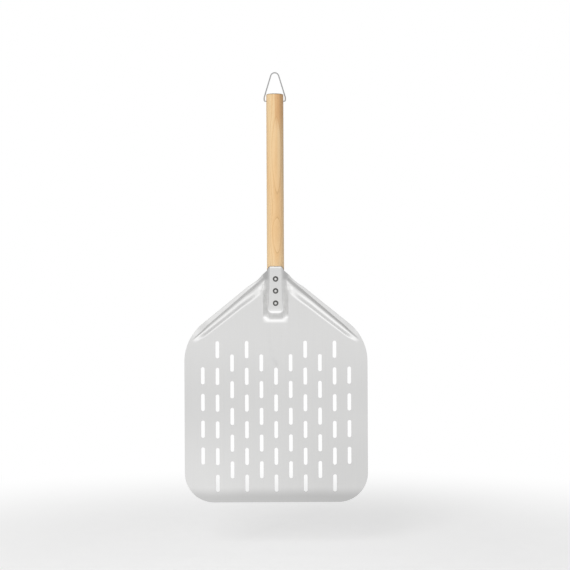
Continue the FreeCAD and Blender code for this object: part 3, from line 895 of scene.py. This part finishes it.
def aluminium():
    m = Nodes("satin_aluminium")
    x, y, z = m.xyz()
    # fine brushing along the peel: long thin streaks, three widths
    fine = m.noise(m.mapping((2600.0, 60.0, 26.0)), 1.0, 2.0, 0.6)
    mid = m.noise(m.mapping((620.0, 40.0, 9.0)), 1.0, 3.0, 0.6)
    wide = m.noise(m.mapping((120.0, 20.0, 5.0)), 1.0, 2.0, 0.5)
    cloud = m.noise(m.mapping((13.0, 13.0, 9.0)), 1.0, 4.0, 0.55)
    streak = m.math("ADD", m.math("MULTIPLY", fine, 0.45), m.math("ADD", m.math("MULTIPLY", mid, 0.35), m.math("MULTIPLY", wide, 0.20)))
    # ground band at the front edge: a little rougher, and darkened by painted shade
    front = m.range(m.math("ADD", m.math("SUBTRACT", z, Z_FRONT), m.math("MULTIPLY", m.math("SUBTRACT", cloud, 0.5), 0.006)), 0.0075, 0.0275, 1.0, 0.0)
    v = m.math("MULTIPLY_ADD", m.math("SUBTRACT", streak, 0.5), 0.10, ALU["base"])
    v = m.math("MULTIPLY_ADD", m.math("SUBTRACT", cloud, 0.5), 0.035, v)
    v = m.math("MULTIPLY", v, m.math("MULTIPLY_ADD", front, -0.25, 1.0))
    # painted shade: the blade is darker towards its front part, and near the front edge the left is painted lighter and
    # the right darker
    painted_lower_shade = m.range(z, Z_FRONT + 0.160, Z_FRONT + 0.285, -0.075, 0.0)
    lean = m.math("MULTIPLY", m.math("MAXIMUM", m.math("MINIMUM", m.math("MULTIPLY", x, -9.0), 1.0), -0.9),
                  m.range(z, Z_FRONT + 0.050, Z_FRONT + 0.140, 0.052, 0.0))
    v = m.math("MULTIPLY", v, m.math("ADD", 1.0, m.math("ADD", painted_lower_shade, lean)))
    # painted shade darkens the socket's flanks and neck, and painted highlights brighten its lower rims
    ax = m.math("ABSOLUTE", x)
    left = m.range(x, -0.002, 0.002, 1.0, 0.0)
    ax_low = m.math("ADD", ax, m.math("MULTIPLY", m.math("MAXIMUM", m.math("SUBTRACT", Z_FRONT + 0.338, z), 0.0), 0.29))
    flank = m.math("MULTIPLY", m.range(ax, 0.0115, 0.0145, 0.0, 1.0), m.range(ax_low, 0.0172, 0.0200, 1.0, 0.0))
    flank = m.math("MULTIPLY", flank, m.math("MULTIPLY", m.range(z, Z_FRONT + 0.324, Z_FRONT + 0.334, 0.0, 1.0),
                                             m.range(z, Z_FRONT + 0.344, Z_FRONT + 0.356, 1.0, 0.0)))
    flank = m.math("MULTIPLY", flank, m.math("MULTIPLY_ADD", left, -0.075, -0.125))
    neck = m.math("MULTIPLY", m.range(ax, 0.0095, 0.0140, 0.0, -0.26), m.range(z, Z_FRONT + 0.362, Z_FRONT + 0.368, 0.0, 1.0))
    neck = m.math("MULTIPLY", neck, m.range(ax, 0.0170, 0.0215, 1.0, 0.55))
    # painted highlights on the socket's lower walls, the lower end of its top, its toe and heel corners, and the bead
    # ends beside it
    foot = m.math("MULTIPLY", m.range(ax, 0.0150, 0.0172, 0.0, 0.10), m.range(ax, 0.0215, 0.0235, 1.0, 0.0))
    foot = m.math("MULTIPLY", foot, m.math("MULTIPLY", m.range(z, Z_FRONT + 0.306, Z_FRONT + 0.313, 0.0, 1.0),
                                           m.range(z, Z_FRONT + 0.322, Z_FRONT + 0.331, 1.0, 0.0)))
    rim = m.math("MULTIPLY", m.range(z, Z_FRONT + 0.3085, Z_FRONT + 0.3115, 0.0, 1.0), m.range(z, Z_FRONT + 0.3150, Z_FRONT + 0.3190, 1.0, 0.0))
    rim = m.math("MULTIPLY", rim, m.range(ax, 0.0075, 0.0105, 0.13, 0.0))
    toe = m.math("MULTIPLY", m.range(z, Z_FRONT + 0.2930, Z_FRONT + 0.2955, 0.0, 0.07), m.range(z, Z_FRONT + 0.3015, Z_FRONT + 0.3050, 1.0, 0.0))
    toe = m.math("MULTIPLY", toe, m.range(ax, 0.0188, 0.0212, 1.0, 0.0))
    heel = m.math("MULTIPLY", m.range(z, Z_FRONT + 0.3010, Z_FRONT + 0.3035, 0.0, 0.11), m.range(z, Z_FRONT + 0.3070, Z_FRONT + 0.3110, 1.0, 0.0))
    heel = m.math("MULTIPLY", heel, m.math("MULTIPLY", m.range(ax, 0.0105, 0.0125, 0.0, 1.0), m.range(ax, 0.0200, 0.0225, 1.0, 0.0)))
    bowl = m.math("MULTIPLY", m.range(z, Z_FRONT + 0.3465, Z_FRONT + 0.3490, 0.0, 0.10), m.range(z, Z_FRONT + 0.3525, Z_FRONT + 0.3555, 1.0, 0.0))
    bowl = m.math("MULTIPLY", bowl, m.math("MULTIPLY", m.range(ax, 0.0180, 0.0200, 0.0, 1.0), m.range(ax, 0.0265, 0.0295, 1.0, 0.0)))
    painted_highlights = m.math("ADD", m.math("ADD", foot, rim), m.math("ADD", toe, m.math("ADD", heel, bowl)))
    # painted shade and painted highlights scale the base colour here
    v = m.math("MULTIPLY", v, m.math("ADD", 1.0, m.math("ADD", m.math("ADD", flank, neck), painted_highlights)))
    col = m.node("ShaderNodeCombineColor")
    m.put(col.inputs[0], m.math("MULTIPLY", v, 1.0))
    m.put(col.inputs[1], m.math("MULTIPLY", v, 0.998))
    m.put(col.inputs[2], m.math("MULTIPLY", v, 0.992))
    m.put(m.bsdf.inputs["Base Color"], col.outputs[0])
    m.put(m.bsdf.inputs["Metallic"], 1.0)
    rough = m.math("MULTIPLY_ADD", m.math("SUBTRACT", streak, 0.5), 0.16, ALU["rough"])
    rough = m.math("MULTIPLY_ADD", m.math("SUBTRACT", cloud, 0.5), 0.08, rough)
    rough = m.math("MULTIPLY_ADD", front, 0.05, rough)
    m.put(m.bsdf.inputs["Roughness"], rough)
    m.put(m.bsdf.inputs["Anisotropic"], 0.35)
    tan = m.node("ShaderNodeTangent", direction_type="UV_MAP", uv_map="plan")
    m.put(m.bsdf.inputs["Tangent"], tan.outputs[0])
    m.put(m.bsdf.inputs["Anisotropic Rotation"], 0.25)
    m.put(m.bsdf.inputs["Normal"], m.bump(streak, 0.12, 0.00003))
    return m.mat


def beech():
    m = Nodes("beech_wood")
    x, y, z = m.xyz()
    mm = lambda v: m.math("MULTIPLY", v, 1000.0)
    warp = m.noise(m.mapping((26.0, 26.0, 5.0)), 1.0, 2.0, 0.5)
    warp2 = m.noise(m.mapping((90.0, 90.0, 11.0)), 1.0, 2.0, 0.5)
    # growth layers: nearly flat, cut by the round rod; they dip and rise along the grain, so that
    # each comes to the surface as a long pointed figure
    curve = m.node("ShaderNodeFloatCurve")
    c = curve.mapping.curves[0]
    heights = [(318, -1.3), (360, -1.2), (385, -0.9), (395, -0.55), (406, 0.0), (415, 0.65), (430, 1.55), (445, 1.9),
               (456, 1.3), (468.5, 0.0), (478, -0.45), (488, -0.5), (497, -0.15), (503, 0.12), (511, 0.45),
               (530, 1.1), (555, 2.0), (580, 2.2), (600, 1.55), (615, 0.75), (627.6, 0.0), (642, -0.75), (655, -1.1), (670, -1.3)]
    pts = [((h - 318.0) / 352.0, (a + 3.0) / 6.0) for h, a in heights]
    while len(c.points) < len(pts):
        c.points.new(0.5, 0.5)
    for p, (a, b) in zip(c.points, pts):
        p.location = (a, b)
    curve.mapping.update()
    along = m.range(z, Z_FRONT + 0.318, Z_FRONT + 0.670, 0.0, 1.0, "LINEAR")
    m.put(curve.inputs["Value"], along)
    layer = m.math("MULTIPLY_ADD", curve.outputs[0], 6.0, -3.0)
    turn = math.radians(13.0)
    u = m.math("ADD", m.math("MULTIPLY", mm(y), -math.cos(turn)), m.math("MULTIPLY", mm(x), math.sin(turn)))
    f = m.math("ADD", u, layer)
    f = m.math("MULTIPLY_ADD", m.math("SUBTRACT", warp, 0.5), 2.2, f)
    f = m.math("MULTIPLY_ADD", m.math("SUBTRACT", warp2, 0.5), 0.55, f)
    t = m.math("FRACT", m.math("DIVIDE", m.math("SUBTRACT", f, 14.0 - 2.6 * 20), 2.6))
    late = m.value_ramp(t, [(0.0, 0.55), (0.05, 0.10), (0.18, 0.0), (0.50, 0.22), (0.80, 0.62), (0.955, 0.85), (1.0, 1.0)])
    line = m.value_ramp(t, [(0.0, 0.8), (0.045, 0.0), (0.93, 0.0), (1.0, 1.0)])
    fibre = m.noise(m.mapping((1000.0, 1000.0, 24.0)), 1.0, 3.0, 0.6)
    fibre2 = m.noise(m.mapping((300.0, 300.0, 7.0)), 1.0, 3.0, 0.55)
    broad = m.noise(m.mapping((60.0, 60.0, 7.0), loc=(3.1, 0.4, 1.7)), 1.0, 2.0, 0.5)
    fleck_n = m.noise(m.mapping((1500.0, 1500.0, 190.0)), 1.0, 2.0, 0.55)
    fleck = m.range(fleck_n, 0.665, 0.72, 0.0, 1.0)
    pore_n = m.noise(m.mapping((2400.0, 2400.0, 320.0), loc=(0.3, 7.0, 2.0)), 1.0, 1.0, 0.5)
    pore = m.range(pore_n, 0.66, 0.74, 0.0, 1.0)
    base = m.ramp(broad, [(0.28, (0.880, 0.672, 0.400)), (0.50, (0.855, 0.606, 0.336)), (0.74, (0.825, 0.538, 0.268))])
    col = m.mix(m.math("MULTIPLY", late, 0.50), base, (0.690, 0.405, 0.165))
    col = m.mix(m.math("MULTIPLY", line, 0.42), col, (0.430, 0.270, 0.110))
    # warm streak of heartwood on one side towards the top
    side = m.range(m.math("MULTIPLY_ADD", m.math("SUBTRACT", warp, 0.5), 8.0, mm(x)), 0.0, 2.4)
    high = m.range(z, Z_FRONT + 0.600, Z_FRONT + 0.640)
    front = m.range(y, 0.004, -0.002)
    streak = m.math("MULTIPLY", m.math("MULTIPLY", side, high), front)
    col = m.mix(m.math("MULTIPLY", streak, 0.68), col, (0.640, 0.330, 0.125))
    # painted shade: the right flank is darker, most of all in the upper half
    flank = m.range(m.math("MULTIPLY_ADD", m.math("SUBTRACT", warp, 0.5), 3.0, mm(x)), 5.5, 10.5)
    upper = m.range(z, Z_FRONT + 0.470, Z_FRONT + 0.560, 0.25, 1.0)
    col = m.mix(m.math("MULTIPLY", m.math("MULTIPLY", flank, upper), 0.36), col, (0.330, 0.200, 0.100))
    col = m.mix(m.math("MULTIPLY", m.range(fibre, 0.40, 0.78, 0.0, 1.0, "LINEAR"), 0.24), col, (0.62, 0.38, 0.18))
    col = m.mix(m.math("MULTIPLY", m.range(fibre2, 0.45, 0.80, 0.0, 1.0, "LINEAR"), 0.22), col, (0.95, 0.76, 0.50))
    col = m.mix(m.math("MULTIPLY", fleck, 0.26), col, (0.40, 0.22, 0.09))
    col = m.mix(m.math("MULTIPLY", pore, 0.20), col, (0.33, 0.19, 0.08))
    # sawn end grain and the cut faces of the lap are darker
    geo = m.node("ShaderNodeNewGeometry")
    nz = m.node("ShaderNodeSeparateXYZ")
    m.put(nz.inputs[0], geo.outputs["Normal"])
    end = m.range(m.math("ABSOLUTE", nz.outputs[2]), 0.10, 0.60)
    rings = m.noise(m.mapping((260.0, 1500.0, 260.0)), 1.0, 3.0, 0.55)
    endc = m.mix(rings, (0.36, 0.25, 0.14), (0.50, 0.36, 0.21))
    col = m.mix(m.math("MULTIPLY", end, 0.85), col, endc)
    # painted shade: a dark line along the rounded edge of the handle's end
    rim = m.range(z, Z_FRONT + (H_TOP - 2.2) * MM, Z_FRONT + (H_TOP - 0.7) * MM)
    col = m.mix(m.math("MULTIPLY", rim, 0.62), col, (0.300, 0.235, 0.150))
    m.put(m.bsdf.inputs["Base Color"], col)
    m.put(m.bsdf.inputs["Roughness"], m.math("MULTIPLY_ADD", fibre, 0.22, 0.36))
    m.put(m.bsdf.inputs["Specular IOR Level"], 0.5)
    hgt = m.math("ADD", m.math("MULTIPLY", fibre, 0.6), m.math("MULTIPLY", fleck, -0.9))
    hgt = m.math("MULTIPLY_ADD", pore, -0.8, hgt)
    hgt = m.math("MULTIPLY_ADD", late, -0.35, hgt)
    m.put(m.bsdf.inputs["Normal"], m.bump(hgt, 0.35, 0.00006))
    return m.mat


def rivet_steel():
    m = Nodes("rivet_steel")
    x, y, z = m.xyz()
    # distance from the axis of whichever rivet this is
    hs = sorted(RIVET_H.values())
    best = None
    for h in hs:
        dz = m.math("SUBTRACT", z, Z_FRONT + h * MM)
        d = m.math("SQRT", m.math("ADD", m.math("MULTIPLY", x, x), m.math("MULTIPLY", dz, dz)))
        best = d if best is None else m.math("MINIMUM", best, d)
    n = m.noise(m.mapping((900.0, 900.0, 900.0)), 1.0, 3.0, 0.6)
    # painted reflection: the crown is painted light and the domed flange dark, standing in for a polished dome's bright
    # centre and dark reflected ring; the flange's outer edge is painted a little lighter
    crown = m.range(m.math("MULTIPLY_ADD", m.math("SUBTRACT", n, 0.5), 0.0004, best), 0.00185, 0.00225, 1.0, 0.0)
    col = m.mix(crown, (0.135, 0.135, 0.13), (0.80, 0.80, 0.79))
    rim = m.range(best, 0.0040, 0.0046, 0.0, 1.0)
    col = m.mix(m.math("MULTIPLY", rim, 0.25), col, (0.30, 0.30, 0.29))
    m.put(m.bsdf.inputs["Base Color"], col)
    m.put(m.bsdf.inputs["Metallic"], 0.92)
    m.put(m.bsdf.inputs["Roughness"], m.math("MULTIPLY_ADD", n, 0.18, 0.24))
    m.put(m.bsdf.inputs["Normal"], m.bump(n, 0.12, 0.00004))
    return m.mat


def wire_steel():
    m = Nodes("drawn_wire")
    n = m.noise(m.mapping((1400.0, 1400.0, 120.0)), 1.0, 3.0, 0.6)
    c = m.noise(m.mapping((90.0, 90.0, 90.0)), 1.0, 2.0, 0.5)
    col = m.mix(c, (0.47, 0.47, 0.475), (0.62, 0.62, 0.62))
    m.put(m.bsdf.inputs["Base Color"], col)
    m.put(m.bsdf.inputs["Metallic"], 1.0)
    m.put(m.bsdf.inputs["Roughness"], m.math("MULTIPLY_ADD", n, 0.20, 0.22))
    m.put(m.bsdf.inputs["Normal"], m.bump(n, 0.15, 0.00003))
    return m.mat


def washer_steel():
    m = Nodes("zinc_washer")
    n = m.noise(m.mapping((500.0, 500.0, 500.0)), 1.0, 4.0, 0.6)
    col = m.ramp(n, [(0.3, (0.40, 0.40, 0.41)), (0.7, (0.62, 0.62, 0.61))])
    m.put(m.bsdf.inputs["Base Color"], col)
    m.put(m.bsdf.inputs["Metallic"], 1.0)
    m.put(m.bsdf.inputs["Roughness"], m.math("MULTIPLY_ADD", n, 0.25, 0.30))
    m.put(m.bsdf.inputs["Normal"], m.bump(n, 0.2, 0.00004))
    return m.mat


# ---------------------------------------------------------------------------
# build the pieces
# ---------------------------------------------------------------------------
blade = make_blade()
blade.data.materials.append(aluminium())
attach(blade, "peel")
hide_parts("blade")

handle = make_handle()
handle.data.materials.clear()
handle.data.materials.append(beech())
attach(handle, "peel")
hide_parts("handle")

rs = rivet_steel()
for name, h in RIVET_H.items():
    r = make_rivet(name + "_head", h)
    r.data.materials.append(rs)
    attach(r, "peel")
    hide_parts(name)

ws = washer_steel()
for name in ("washer_upper", "washer_middle", "washer_lower"):
    o = frame["nodes"][name]
    o.data.materials.clear()
    o.data.materials.append(ws)

bail = make_bail()
bail.data.materials.append(wire_steel())
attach(bail, "bail")
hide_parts("hanging_bail")

# ---------------------------------------------------------------------------
# floor, light, camera
# ---------------------------------------------------------------------------
FLOOR_Z = Z_FRONT - 0.085


def make_floor():
    n, half = 48, 6.0
    verts = [(-half + 2 * half * i / n, -half + 2 * half * j / n, FLOOR_Z) for j in range(n + 1) for i in range(n + 1)]
    faces = [(j * (n + 1) + i, j * (n + 1) + i + 1, (j + 1) * (n + 1) + i + 1, (j + 1) * (n + 1) + i)
             for j in range(n) for i in range(n)]
    obj = mesh_obj("studio_floor", verts, faces)
    m = Nodes("studio_floor")
    x, y, z = m.xyz()
    d = m.math("SQRT", m.math("ADD", m.math("MULTIPLY", x, x), m.math("MULTIPLY", y, y)))
    far = m.range(d, 0.35, 1.15)
    n1 = m.noise(m.mapping((40.0, 40.0, 40.0)), 1.0, 3.0, 0.5)
    col = m.ramp(n1, [(0.3, (0.86, 0.86, 0.86)), (0.7, (0.90, 0.90, 0.90))])
    m.put(m.bsdf.inputs["Base Color"], col)
    m.put(m.bsdf.inputs["Roughness"], 0.75)
    m.put(m.bsdf.inputs["Emission Color"], (1.0, 1.0, 1.0, 1.0))
    m.put(m.bsdf.inputs["Emission Strength"], 0.42)
    em = m.node("ShaderNodeEmission")
    em.inputs["Color"].default_value = (1, 1, 1, 1)
    em.inputs["Strength"].default_value = 1.0
    mixn = m.node("ShaderNodeMixShader")
    m.put(mixn.inputs[0], far)
    m.t.links.new(m.bsdf.outputs[0], mixn.inputs[1])
    m.t.links.new(em.outputs[0], mixn.inputs[2])
    m.t.links.new(mixn.outputs[0], m.out.inputs[0])
    obj.data.materials.append(m.mat)
    obj.visible_glossy = False
    return obj


make_floor()

scene = bpy.context.scene
w = bpy.data.worlds.new("studio")
scene.world = w
w.use_nodes = True
t = w.node_tree
t.nodes.clear()
out = t.nodes.new("ShaderNodeOutputWorld")


def wmath(op, a, b=0.0, c=0.0, clamp=False):
    n = t.nodes.new("ShaderNodeMath")
    n.operation = op
    n.use_clamp = clamp
    for s, v in zip(n.inputs, (a, b, c)):
        if hasattr(v, "is_output"):
            t.links.new(v, s)
        else:
            s.default_value = v
    return n.outputs[0]


tc = t.nodes.new("ShaderNodeTexCoord").outputs["Generated"]
sep = t.nodes.new("ShaderNodeSeparateXYZ")
t.links.new(tc, sep.inputs[0])
dx, dy, dz = sep.outputs


def wramp(fac, stops):
    """Strength as a function of fac; values up to 1.5."""
    n = t.nodes.new("ShaderNodeValToRGB")
    n.color_ramp.interpolation = "EASE"
    els = n.color_ramp.elements
    while len(els) < len(stops):
        els.new(0.5)
    for e, (q, v) in zip(els, stops):
        e.position = q
        e.color = (v / 1.5, v / 1.5, v / 1.5, 1.0)
    t.links.new(fac, n.inputs[0])
    return wmath("MULTIPLY", n.outputs[0], 1.5)


# A light tent.  pitch: 0 straight towards the cook's side, 90 down, -90 up.
pitch = wmath("ARCTAN2", wmath("MULTIPLY", dz, -1.0), wmath("MULTIPLY", dy, -1.0))
pitch01 = wmath("MULTIPLY_ADD", pitch, 1.0 / (2.0 * math.pi), 0.5)
TENT = [(-180, 0.66), (-120, 0.56), (-90, 0.54), (-35, 0.57), (-12, 0.72), (0, 0.815), (10, 0.86), (24, 1.11), (52, 1.13),
        (74, 0.665), (110, 0.64), (180, 0.66)]
band = wramp(pitch01, [((a + 180.0) / 360.0, v) for a, v in TENT])
side_l = wramp(wmath("MULTIPLY", dx, -1.0), [(0.0, 0.0), (0.50, 0.0), (0.95, 1.5), (1.0, 1.5)])
side_r = wramp(dx, [(0.0, 0.0), (0.55, 0.0), (0.96, 1.5), (1.0, 1.5)])
side_l = wmath("MULTIPLY", side_l, 1.0 / 1.5)
side_r = wmath("MULTIPLY", side_r, 1.0 / 1.5)
total = wmath("MULTIPLY_ADD", wmath("SUBTRACT", 0.62, band), side_l, band)
total = wmath("MULTIPLY_ADD", wmath("SUBTRACT", 0.70, total), side_r, total)
# the left half of the tent is a little brighter
total = wmath("MULTIPLY", total, wmath("ADD", 1.0, wmath("MAXIMUM", wmath("MINIMUM", wmath("MULTIPLY", dx, -0.33), 0.035), -0.035)))
bg = t.nodes.new("ShaderNodeBackground")
lp = t.nodes.new("ShaderNodeLightPath")
DIFFUSE_SHARE = 0.50
share = wmath("MULTIPLY_ADD", lp.outputs["Is Diffuse Ray"], DIFFUSE_SHARE - 1.0, 1.0)
t.links.new(wmath("MULTIPLY", total, share), bg.inputs["Strength"])
bg.inputs["Color"].default_value = (1.0, 1.0, 1.0, 1.0)
white = t.nodes.new("ShaderNodeBackground")
white.inputs["Color"].default_value = (1, 1, 1, 1)
white.inputs["Strength"].default_value = 1.0
mixw = t.nodes.new("ShaderNodeMixShader")
t.links.new(lp.outputs["Is Camera Ray"], mixw.inputs[0])
t.links.new(bg.outputs[0], mixw.inputs[1])
t.links.new(white.outputs[0], mixw.inputs[2])
t.links.new(mixw.outputs[0], out.inputs[0])

key = bpy.data.lights.new("key_panel", "AREA")
key.shape = "RECTANGLE"
key.size, key.size_y = 1.1, 1.5
key.energy = 35.0
key_o = bpy.data.objects.new("key_panel", key)
key_o.location = (-0.82, -2.52, 0.35)
key_o.rotation_euler = (Vector((0, 0, -0.35)) - Vector(key_o.location)).to_track_quat("-Z", "Y").to_euler()
key_o.visible_glossy = False
scene.collection.objects.link(key_o)

cam = bpy.data.cameras.new("camera")
cam.sensor_width = 36.0
DIST = 2.4
FRAME_W = 0.9343
cam.lens = 36.0 * DIST / FRAME_W
cam_o = bpy.data.objects.new("camera", cam)
# the picture's centre lies to the right of the blade's middle and above it
cam_o.location = (0.0154, -DIST, Z_FRONT + 0.3559)
cam_o.rotation_euler = (math.radians(90.0), math.radians(0.256), 0.0)
scene.collection.objects.link(cam_o)
scene.camera = cam_o

scene.view_settings.view_transform = "Standard"
scene.view_settings.look = "None"
scene.view_settings.exposure = 0.0
scene.view_settings.gamma = 1.0
